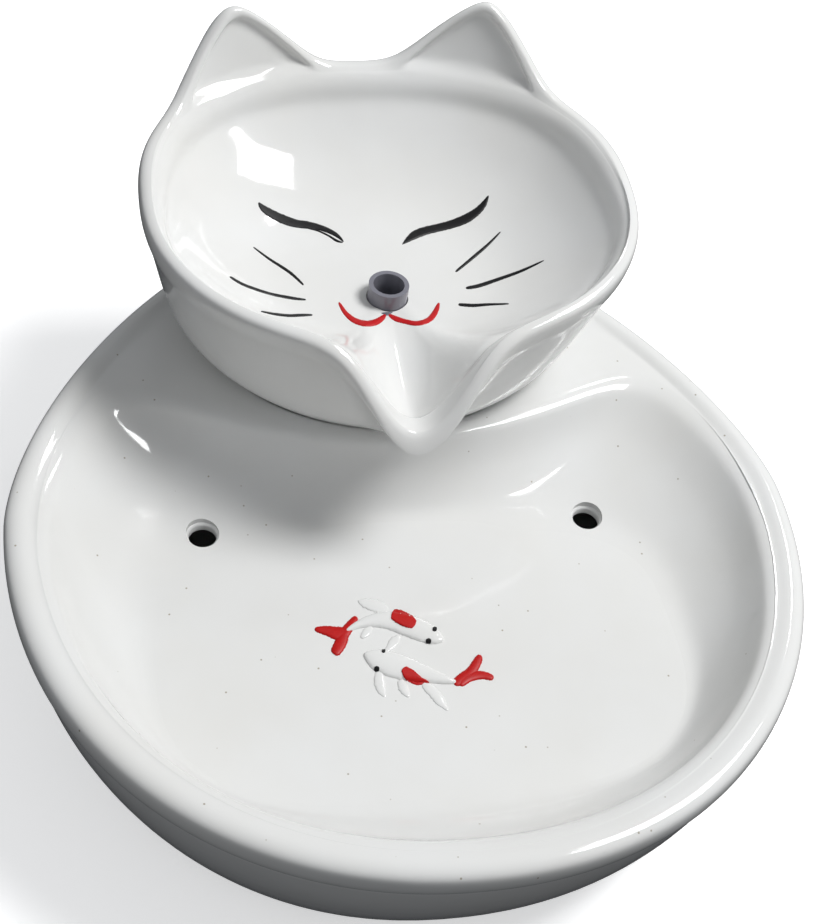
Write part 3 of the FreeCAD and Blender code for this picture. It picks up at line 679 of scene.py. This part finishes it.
def ear_share(angle):
    """1 at an ear's tip, falling along straight flanks that run out softly at the rim."""
    off = abs(off_front(angle - EAR_TURN) - (180.0 - EAR_ANGLE)) / EAR_HALF_ANGLE
    flank = 1.0 + EAR_TIP - math.sqrt(off * off + EAR_TIP ** 2)
    return EAR_BLEND * math.log1p(math.exp(flank / EAR_BLEND))


def bell(angle, width):
    """1 at the front, falling smoothly over a width in degrees."""
    return math.exp(-(off_front(angle) / width) ** 2)


def foot_reach(bowl, angle):
    """Reach of the bowl's foot at an angle."""
    return superellipse(angle, bowl.foot_half_width, bowl.foot_front, bowl.foot_back, FOOT_POWER,
                        FOOT_POWER)


def foot_cutter(bowl, levels):
    """Cutter that follows the bowl's foot, from pairs of outset and height."""
    angles = [360.0 * i / CUTTER_SIDES for i in range(CUTTER_SIDES)]
    return stacked([around(angle, foot_reach(bowl, angle) + outset, bowl.centre_y, z)
                    for outset, z in levels for angle in angles])


def nose_y(bowl):
    """Place of the hose, which comes up through the deck and the bowl's nose."""
    return bowl.centre_y - bowl.hole_front


def build_bowl(bowl, material):
    """Cat-head bowl: foot, belly, rounded rim with dished ears, grooved spout and floor.

    In here and in build_basin, a is an angle in degrees from the front."""
    angles = [360.0 * i / BOWL_COLUMNS for i in range(BOWL_COLUMNS)]

    def rim(a):
        """Reach of the rim's middle line."""
        return (superellipse(a, bowl.half_width, bowl.front, bowl.back, BOWL_POWER, BOWL_BACK_POWER)
                + bowl.spout_reach * bell(a, SPOUT_ANGLE))

    def rim_z(a):
        sine, cosine = math.sin(math.radians(a)), math.cos(math.radians(a))
        height = (bowl.rim_height - bowl.front_dip * max(0.0, cosine) ** 2
                  + bowl.back_rise * max(0.0, -cosine) ** 2 + bowl.tilt * sine)
        return height - (bowl.spout_drop - bowl.front_dip) * bell(a, SPOUT_DROP_ANGLE)

    def foot(a):
        return foot_reach(bowl, a)

    def belly(a):
        return superellipse(a, bowl.belly_half_width, bowl.belly_front, bowl.belly_back, FOOT_POWER,
                            FOOT_POWER)

    def place(a, radius, z, shift=0.0):
        """Point of the bowl, with the hand-finished rim's sway."""
        point = around(a, radius, bowl.centre_y - shift, z)
        point.x += bowl.sway * (z - bowl.foot_height) / (bowl.rim_height - bowl.foot_height)
        return point

    def row(radius, height):
        return [place(a, radius(a), height(a)) for a in angles]

    def climb(share):
        """Height at a share of the way from the foot to the rim."""
        return lambda a: lerp(bowl.foot_height, rim_z(a), share)

    def frontness(a):
        """0 at the back and 1 at the front, with a soft change near the sides."""
        return smooth_step(FRONT_BEGINS, FRONT_FULL, math.cos(math.radians(a)))

    def widening(a):
        """How much broader the rim is than its two rounded edges: less than nothing in front."""
        back = max(0.0, -math.cos(math.radians(a))) ** 2
        return bowl.back_land * back - bowl.front_thin * frontness(a) * (1.0 - bell(a, SPOUT_ANGLE))

    def dish(a, tall):
        """Depth of an ear's dish: full inside its frame, none on the frame or at the rim."""
        height = bowl.ear_height * ear_share(a)
        return (smooth_step(0.6 * bowl.ear_frame, 1.3 * bowl.ear_frame, (1.0 - tall) * height)
                * smooth_step(0.2 * MM, 3.0 * MM, tall * height))

    # Up the outside: the foot's underside, its edge, the belly, and the wall up to the rim
    rows = [
        row(lambda a: foot(a) - 3.0 * MM, lambda a: bowl.foot_height),
        row(foot, lambda a: bowl.foot_height),
        row(lambda a: foot(a) + 0.8 * MM, climb(0.03)),
        row(lambda a: lerp(foot(a), belly(a), 0.75), climb(0.14)),
        row(lambda a: lerp(belly(a), rim(a), 0.25), climb(0.34)),
        row(lambda a: lerp(belly(a), rim(a), 0.62) + 1.0 * MM, climb(0.6)),
        row(lambda a: rim(a) + 0.5 * bowl.lip, climb(0.84)),
    ]
    # Over the rim: outset and rise in lips, share of the ear's height and of its lean
    for outset, rise, tall, lean in (
            (1.0, -1.3, 0.2, 0.3), (1.12, -0.2, 0.5, 0.65), (1.05, 0.5, 0.8, 0.9),
            (0.85, 0.95, 0.97, 1.0), (0.35, 1.2, 1.0, 1.0), (-0.15, 1.22, 0.99, 0.95),
            (-0.22, 1.22, 0.94, 0.89), (-0.28, 1.2, 0.88, 0.83), (-0.34, 1.18, 0.81, 0.75),
            (-0.4, 1.16, 0.72, 0.66), (-0.46, 1.12, 0.62, 0.56), (-0.52, 1.08, 0.5, 0.45),
            (-0.58, 1.04, 0.38, 0.34), (-0.64, 1.0, 0.27, 0.23), (-0.7, 0.95, 0.17, 0.14),
            (-0.8, 0.9, 0.09, 0.06), (-0.95, 0.78, 0.03, 0.02), (-1.2, 0.55, 0.0, 0.0),
            (-1.5, 0.15, 0.0, 0.0), (-1.8, -0.5, 0.0, 0.0), (-RIM_END, -1.5, 0.0, 0.0)):
        line = []
        for a in angles:
            crest = rise * (1.0 - FRONT_FLATTER * frontness(a)) if rise > 0 else rise
            rounded = POUR_RISE - max(0.0, outset + POUR_INSET) ** 2
            line.append(place(
                a, rim(a) + bowl.lip * outset + bowl.ear_lean * lean * ear_share(a)
                + bowl.ear_hollow * dish(a, tall) - widening(a) * smooth_step(0.2, -1.0, outset),
                rim_z(a) + bowl.lip * lerp(crest, rounded, bell(a, SPOUT_ANGLE))
                + bowl.ear_height * tall * ear_share(a)))
        rows.append(line)
    # Down the inside: share of the reach to the rim's inner edge, of the height, of the shift to
    # the floor, and of the groove that runs to the spout
    for reach, height, shift, groove in (
            (0.96, 0.74, 0.0, 0.8), (0.885, 0.56, 0.1, 1.0), (0.8, 0.39, 0.2, 1.0),
            (0.7, 0.24, 0.35, 0.9), (0.6, 0.125, 0.5, 0.7), (0.5, 0.055, 0.65, 0.45),
            (0.4, 0.02, 0.8, 0.25), (0.25, 0.0, 1.0, 0.1), (0.15, 0.0, 1.0, 0.0)):
        rows.append([place(
            a, (rim(a) - RIM_END * bowl.lip - widening(a)) * reach,
            lerp(bowl.floor_height, rim_z(a), height) + groove * bowl.spout_groove * (
                RIDGE_HEIGHT * bell(off_front(a) - RIDGE_PLACE * GROOVE_ANGLE,
                                    RIDGE_WIDTH * GROOVE_ANGLE)
                - max(0.0, 1.0 - math.hypot(off_front(a), GROOVE_SOFTNESS) / GROOVE_ANGLE)),
            bowl.floor_back * shift) for a in angles])
    piece = skin("upper_bowl_glazed", rows, material, "bowl")
    carve(piece, [
        turned([(bowl.hole, bowl.foot_height), (bowl.hole, bowl.rim_height)], 0.0, nose_y(bowl)),
        foot_cutter(bowl, ((-bowl.foot_wall, bowl.foot_height - 1.0 * MM),
                           (-bowl.foot_wall - 0.6 * bowl.cavity, bowl.foot_height + bowl.cavity)))])
    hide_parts("upper_bowl")


def build_basin(basin, bowl, material):
    """Basin: rolled rim, broad soft land, deck at the back and gentle slopes to a flat floor."""
    angles = [360.0 * i / BASIN_COLUMNS for i in range(BASIN_COLUMNS)]
    floor_y = basin.centre_y + basin.floor_shift

    def outline(a):
        return superellipse(a, basin.half_width, basin.front, basin.back, BASIN_FRONT_POWER,
                            BASIN_BACK_POWER)

    def edge(a):
        """Reach of the opening: the rim's width and the deck's edge, joined by soft corners."""
        low, high = 0.0, basin.back + basin.half_width
        for _ in range(36):  # Each round halves what is left, down to under a nanometre
            reach = (low + high) / 2.0
            point = around(a, reach, floor_y, 0.0)
            across, back = point.x, point.y - basin.centre_y
            bearing = math.degrees(math.atan2(across, -back))
            gaps = (outline(bearing) - basin.land - math.hypot(across, back),
                    basin.deck_edge + DECK_CURVE * across ** 2 - back)
            if sum(math.exp(-gap / basin.corner) for gap in gaps) < 1.0:
                low = reach
            else:
                high = reach
        return low

    edges = {a: edge(a) for a in angles}
    floors = {a: superellipse(a, basin.floor_half_width, basin.floor_front, basin.floor_back,
                              FLOOR_POWER, FLOOR_POWER) for a in angles}

    def land_z(a):
        """Height of the land inside the rim, which runs down to the deck at the back."""
        share = (0.5 - 0.5 * math.cos(math.radians(a))) ** 2
        return lerp(basin.rim_height - basin.land_fall, basin.deck_height, share)

    def slope_row(share, outset, fall, drop=0.0):
        """Row at a share of the way from the opening's edge to the floor, and of the fall."""
        return [around(a, lerp(edges[a], floors[a], share) + outset * MM, floor_y,
                       lerp(land_z(a), basin.floor_height, fall) - drop) for a in angles]

    def rim_row(inset, z):
        return [around(a, outline(a) - inset, basin.centre_y, z) for a in angles]

    def land_row(share):
        """Row at a share of the way from the rim's inner side to the opening's edge."""
        outer = [around(a, outline(a) - LAND_BEGINS * basin.land, basin.centre_y, land_z(a))
                 for a in angles]
        inner = slope_row(0.0, 2.5, 0.0)
        return [lerp(p, q, share) for p, q in zip(outer, inner)]

    # From under the floor out to the rim, over it, and down the slope to the floor
    under = basin.rim_height - basin.land_fall - basin.wall
    low = basin.rim_height - basin.drop
    rows = [slope_row(share, outset, fall, basin.wall) for share, outset, fall in (
        (1.0, -6.0, 1.0), (1.0, -2.0, 1.0), (0.8, 2.0, 0.93), (0.5, 2.5, 0.72), (0.22, 2.5, 0.44),
        (0.06, 2.5, 0.14))]
    rows.append([Vector((p.x, p.y, under)) for p in slope_row(0.0, 1.5, 0.0)])
    rows += [rim_row(inset * MM, z) for inset, z in (
        (8.0, under), (4.4, under), (2.2, low), (0.6, low - 0.6 * MM), (-0.3, low + 2.0 * MM),
        (-0.25, basin.rim_height - 3.4 * MM), (0.3, basin.rim_height - 1.2 * MM),
        (2.4, basin.rim_height + 0.1 * MM), (5.2, basin.rim_height + 0.25 * MM))]
    rows += [land_row(share) for share in (0.0, 0.25, 0.5, 0.8, 0.96)]
    rows += [slope_row(share, 0.0, fall) for share, fall in (
        (0.04, 0.05), (0.1, 0.16), (0.2, 0.33), (0.32, 0.5), (0.45, 0.635), (0.58, 0.75),
        (0.72, 0.855), (0.86, 0.94), (1.0, 0.985), (1.15, 1.0))]
    piece = skin("basin_tray_glazed", rows, material, "tray")
    top = basin.rim_height + basin.wall
    cutters = [foot_cutter(bowl, ((basin.seat_gap, bowl.foot_height), (basin.seat_gap, top))),
               turned([(basin.deck_hole, basin.floor_height), (basin.deck_hole, top)], 0.0,
                      nose_y(bowl))]
    # A drain hole flares into the floor above and is wide open below: shares of its radius and
    # millimetres over the floor
    for side in (-1, 1):
        cutters.append(turned(
            [(basin.drain_hole * share, basin.floor_height + rise * MM) for share, rise in (
                (2.1, 20.0 - basin.floor_height / MM), (2.1, -3.2), (1.0, -2.6), (1.0, -0.7),
                (1.06, -0.2), (1.18, 0.1), (1.22, 4.0))],
            side * basin.drain_x, basin.centre_y + basin.drain_y))
    carve(piece, cutters)
    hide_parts("basin_tray")


class FOUNTAIN_OT_ceramics(bpy.types.Operator):
    """Builds the glazed bowl and basin, and glazes the base."""
    bl_idname = "fountain.ceramics"
    bl_label = "Glazed ceramics"

    def execute(self, context):
        scene = context.scene
        plain = glazed_stoneware(scene.fountain_glaze, False)
        build_bowl(scene.fountain_bowl, plain)
        build_basin(scene.fountain_basin, scene.fountain_bowl,
                    glazed_stoneware(scene.fountain_glaze, True))
        finish_node("reservoir_base", plain)
        return {"FINISHED"}


class FOUNTAIN_OT_face(bpy.types.Operator):
    """Paints the sleeping cat's face inside the bowl."""
    bl_idname = "fountain.face"
    bl_label = "Painted face"

    def execute(self, context):
        camera = context.scene.fountain_camera
        paint = context.scene.fountain_paint
        black = brushed_enamel("brushed_black_enamel", paint.black, "#121114")
        red = brushed_enamel("brushed_red_enamel", paint.red, "#A80F14")
        grey = brushed_enamel("brushed_grey_enamel", paint.nose, "#6A6A76")
        bowl = surface_of(bpy.data.objects["upper_bowl_glazed"])
        strokes = {"eye_left": EYE_LEFT, "eye_left_strand": EYE_LEFT_STRAND, "eye_right": EYE_RIGHT}
        for side, whiskers in (("left", WHISKERS_LEFT), ("right", WHISKERS_RIGHT)):
            for i, whisker in enumerate(whiskers):
                strokes["whisker_" + side + "_" + str(i + 1)] = whisker
        for name, points in strokes.items():
            brush(name, bowl, camera, points, paint.paint_height, black, "bowl",
                  broad=WHISKER_BREADTH if name.startswith("whisker") else STROKE_BREADTH)
        for name, points in (("mouth_left", MOUTH_LEFT), ("mouth_right", MOUTH_RIGHT)):
            brush(name, bowl, camera, points, paint.paint_height, red, "bowl",
                  broad=STROKE_BREADTH)
        # A grey V laid like a stroke just under the hose, narrowing downwards
        brush("nose_chin", bowl, camera, GREY_V_UNDER_HOSE, paint.paint_height, grey, "bowl")
        return {"FINISHED"}


class FOUNTAIN_OT_koi(bpy.types.Operator):
    """Models the two koi in low relief on the basin's floor."""
    bl_idname = "fountain.koi"
    bl_label = "Koi relief"

    def execute(self, context):
        camera = context.scene.fountain_camera
        paint = context.scene.fountain_paint
        white = bpy.data.materials["glazed_stoneware"]
        red = brushed_enamel("brushed_vermilion_enamel", paint.koi_red, "#A00604")
        black = bpy.data.materials["brushed_black_enamel"]
        tray = bpy.data.objects["basin_tray_glazed"]
        floor = surface_of(tray)
        for fish, parts in (("koi_upper", KOI_UPPER), ("koi_lower", KOI_LOWER)):
            for i, fin in enumerate(parts["fins"]):
                brush(fish + "_fin_" + str(i + 1), floor, camera, fin, paint.fin_height, white,
                      "tray", round_back=True, wobble=0.12, broad=1.2, taper=2)
            for i, tail in enumerate(parts["tail"]):
                brush(fish + "_tail_" + str(i + 1), floor, camera, tail, 1.3 * paint.fin_height,
                      red, "tray", round_back=True, broad=1.25, taper=6)
            body = brush(fish + "_body", floor, camera, parts["body"], paint.fish_height, white,
                         "tray", round_back=True, wobble=0.02, taper=4)
            back = surface_of(tray, body)
            brush(fish + "_patch", back, camera, parts["patch"], paint.paint_height, red, "tray")
            for i, (x, y, width) in enumerate(parts["eyes"]):
                dot = [(x - width / 2, y, 0.7 * width), (x, y, width),
                       (x + width / 2, y, 0.7 * width)]
                brush(fish + "_eye_" + str(i + 1), back, camera, dot, 1.5 * paint.paint_height,
                      black, "tray")
        return {"FINISHED"}


class FOUNTAIN_OT_fittings(bpy.types.Operator):
    """Finishes the hose, the pump, its motor and the rubber parts."""
    bl_idname = "fountain.fittings"
    bl_label = "Hose, pump and rubber"

    def execute(self, context):
        settings = context.scene.fountain_fittings
        rubber = moulded("moulded_nitrile_rubber", settings.rubber, 0.5 * MM, 0.7, 0.05 * MM)
        plastic = moulded("moulded_black_abs", settings.pump, 0.6 * MM, 0.38)
        acetal = moulded("moulded_white_acetal", "#DADBDC", 0.8 * MM, 0.3)
        finishes = {
            "riser_hose": extruded_vinyl(settings),
            "pump_housing": plastic, "pump_front_cover": plastic, "impeller_cover": plastic,
            "flow_slider": acetal, "impeller": acetal,
            "base_pads": rubber, "cable_grommet": rubber, "suction_cups": rubber,
            "cover_oring": rubber, "cable_gland": rubber, "shaft_bushes": rubber,
            "intake_foam": foamed_urethane(),
            "rotor_magnet": moulded("sintered_ferrite", "#3A3B3D", 0.3 * MM, 0.5),
            "rotor_shaft": moulded("ground_alumina", "#E9E7DF", 0.3 * MM, 0.25),
            "stator_core": laminated_steel(),
            "stator_coil": enamelled_copper(),
            "motor_potting": moulded("cast_epoxy", "#101114", 3.0 * MM, 0.18),
        }
        for name, material in finishes.items():
            finish_node(name, material)
        return {"FINISHED"}


def lit_paper(name, base, roughness, glow):
    """Matt paper with white light behind it."""
    material, _, shader = new_material(name)
    shader.inputs["Base Color"].default_value = linear(base)
    shader.inputs["Roughness"].default_value = roughness
    shader.inputs["Emission Color"].default_value = linear("#FFFFFF")
    shader.inputs["Emission Strength"].default_value = glow
    return material


def stage_piece(name, mesh, material, unseen):
    """Piece of the studio that the named kinds of ray pass by."""
    mesh.materials.append(material)
    obj = bpy.data.objects.new(name, mesh)
    bpy.context.scene.collection.objects.link(obj)
    for ray in unseen:
        setattr(obj, "visible_" + ray, False)


def room_light(strength):
    """World that is pale above the horizon and shades off to grey just under it."""
    world = bpy.data.worlds.new("studio")
    world.use_nodes = True
    tree = world.node_tree
    way = add(tree, "ShaderNodeTexCoord").outputs["Generated"]
    height = add(tree, "ShaderNodeSeparateXYZ", {"Vector": way}).outputs["Z"]
    above = add(tree, "ShaderNodeMapRange", {"Value": height, "From Min": -0.1,
                                             "From Max": -0.03})
    shade = add(tree, "ShaderNodeMix", {"Factor": above.outputs["Result"],
                                        6: linear("#56585C"), 7: linear("#F4F7FB")},
                data_type="RGBA")
    background = tree.nodes["Background"]
    tree.links.new(shade.outputs[2], background.inputs["Color"])
    background.inputs["Strength"].default_value = strength
    return world


def window(name, power, place, width, depth):
    """Window light that faces the fountain."""
    light = bpy.data.lights.new(name, "AREA")
    light.shape, light.size, light.size_y, light.energy = "RECTANGLE", width, depth, power
    lamp = bpy.data.objects.new(name, light)
    aim = Vector(place).to_track_quat("Z", "Y").to_matrix().to_4x4()
    lamp.matrix_world = Matrix.Translation(place) @ aim
    bpy.context.scene.collection.objects.link(lamp)


class FOUNTAIN_OT_stage(bpy.types.Operator):
    """Sets up the pale floor, the window light and the soft light from all round."""
    bl_idname = "fountain.stage"
    bl_label = "Studio"

    def execute(self, context):
        settings = context.scene.fountain_stage
        half = settings.floor_size / 2.0
        floor = bpy.data.meshes.new("studio_floor")
        floor.from_pydata([(-half, -half, 0), (half, -half, 0), (half, half, 0), (-half, half, 0)],
                          [], [(0, 1, 2, 3)])
        stage_piece("studio_floor", floor,
                    lit_paper("matt_studio_paper", settings.floor, 0.9, settings.glow),
                    ("diffuse", "glossy"))
        # The backdrop is seen by the camera alone, so it lights nothing
        sphere = bmesh.new()
        bmesh.ops.create_uvsphere(sphere, u_segments=48, v_segments=24, radius=half)
        dome = bpy.data.meshes.new("studio_dome")
        sphere.to_mesh(dome)
        sphere.free()
        stage_piece("studio_dome", dome, lit_paper("backlit_studio_paper", "#000000", 0.5, 1.0),
                    ("diffuse", "glossy", "shadow", "transmission"))
        context.scene.world = room_light(settings.sky)
        context.scene.view_settings.view_transform = "Standard"
        window("right_window", settings.window_power, (0.77, 0.05, 1.3), 0.53, 0.53)
        window("back_window", settings.back_power, (0.66, 0.85, 1.25), 0.12, 0.09)
        return {"FINISHED"}


class FOUNTAIN_PT_panel(bpy.types.Panel):
    """Lists the fountain's settings and steps."""
    bl_label = "Fountain"
    bl_idname = "FOUNTAIN_PT_panel"
    bl_space_type = "VIEW_3D"
    bl_region_type = "UI"
    bl_category = "Fountain"

    def draw(self, context):
        for group in GROUPS:
            settings = getattr(context.scene, group)
            for key in settings.bl_rna.properties.keys():
                if key not in ("rna_type", "name"):
                    self.layout.prop(settings, key)
        for step in STEPS:
            self.layout.operator(step.bl_idname)


GROUPS = {
    "fountain_camera": FountainCamera,
    "fountain_bowl": FountainBowl,
    "fountain_basin": FountainBasin,
    "fountain_glaze": FountainGlaze,
    "fountain_paint": FountainPaint,
    "fountain_fittings": FountainFittings,
    "fountain_stage": FountainStage,
}
STEPS = (FOUNTAIN_OT_camera, FOUNTAIN_OT_ceramics, FOUNTAIN_OT_face, FOUNTAIN_OT_koi,
         FOUNTAIN_OT_fittings, FOUNTAIN_OT_stage)


def register():
    for group, settings in GROUPS.items():
        bpy.utils.register_class(settings)
        setattr(bpy.types.Scene, group, PointerProperty(type=settings))
    for step in STEPS + (FOUNTAIN_PT_panel,):
        bpy.utils.register_class(step)


def unregister():
    for step in reversed(STEPS + (FOUNTAIN_PT_panel,)):
        bpy.utils.unregister_class(step)
    for group, settings in GROUPS.items():
        delattr(bpy.types.Scene, group)
        bpy.utils.unregister_class(settings)


def main():
    """Runs all the steps."""
    register()
    for step in STEPS:
        family, name = step.bl_idname.split(".")
        getattr(getattr(bpy.ops, family), name)()


if __name__ == "__main__":
    main()
